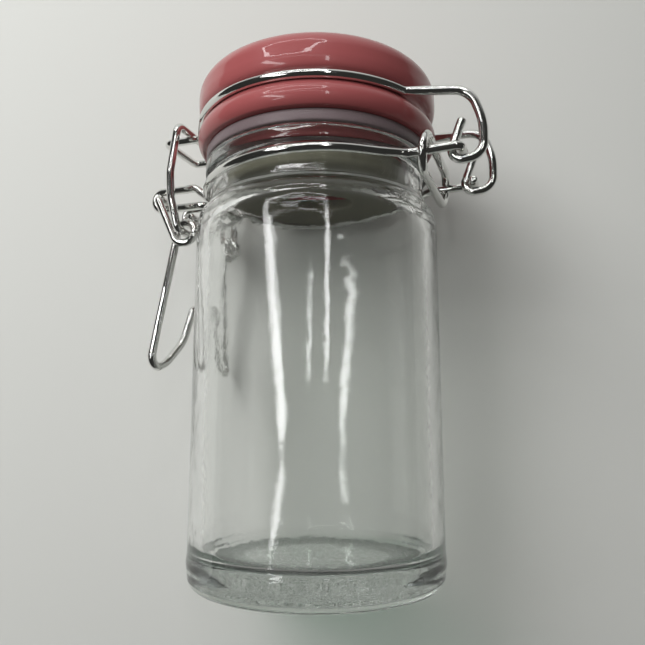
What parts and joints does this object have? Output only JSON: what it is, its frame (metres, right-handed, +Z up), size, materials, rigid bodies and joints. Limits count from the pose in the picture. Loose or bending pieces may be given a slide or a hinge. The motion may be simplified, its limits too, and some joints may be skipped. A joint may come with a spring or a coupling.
{
  "type": "clip-top glass canister",
  "caption": "Small glass storage canister with a hinged glazed lid, rubber seal and bent-wire clip-top latch.",
  "frame": {"origin": "centre of the jar's base, on the surface it stands on", "axes": "+Z up the jar's axis; +X towards the hinge, -X towards the latch"},
  "size_m": [0.0682, 0.0466, 0.0942],
  "materials": {
    "clear_glass": "clear, slightly wavy pressed glass",
    "glazed_ceramic": "glossy dusty red glaze",
    "silicone": "translucent grey-lilac silicone",
    "zinc_wire": "bright drawn wire"
  },
  "bodies": {
    "jar": {"glass_jar": "clear_glass", "collar_wire": "zinc_wire", "hinge_ring": "zinc_wire"},
    "lid_assembly": {"lid": "glazed_ceramic", "gasket": "silicone", "lid_wire": "zinc_wire"},
    "lever": {"lever_wire": "zinc_wire"},
    "link": {"link_wire": "zinc_wire"}
  },
  "joints": [
    {"name": "lid_hinge", "type": "hinge", "parent": "jar", "child": "lid_assembly", "pos_m": [0.0295, 0, 0.07435], "axis": [0, 1, 0], "range_deg": [0, 150]},
    {"name": "lever_pivot", "type": "hinge", "parent": "jar", "child": "lever", "pos_m": [-0.0316, 0, 0.0733], "axis": [0, 1, 0], "range_deg": [0, 110], "deforming": ["link_wire"]},
    {"name": "link_swing", "type": "hinge", "parent": "lever", "child": "link", "pos_m": [-0.0254, 0, 0.0655], "axis": [0, 1, 0], "range_deg": [-140, 0]}
  ],
  "couplings": [
    {"joint": "link_swing", "follows": "lever_pivot", "ratio": -1.27}
  ]
}
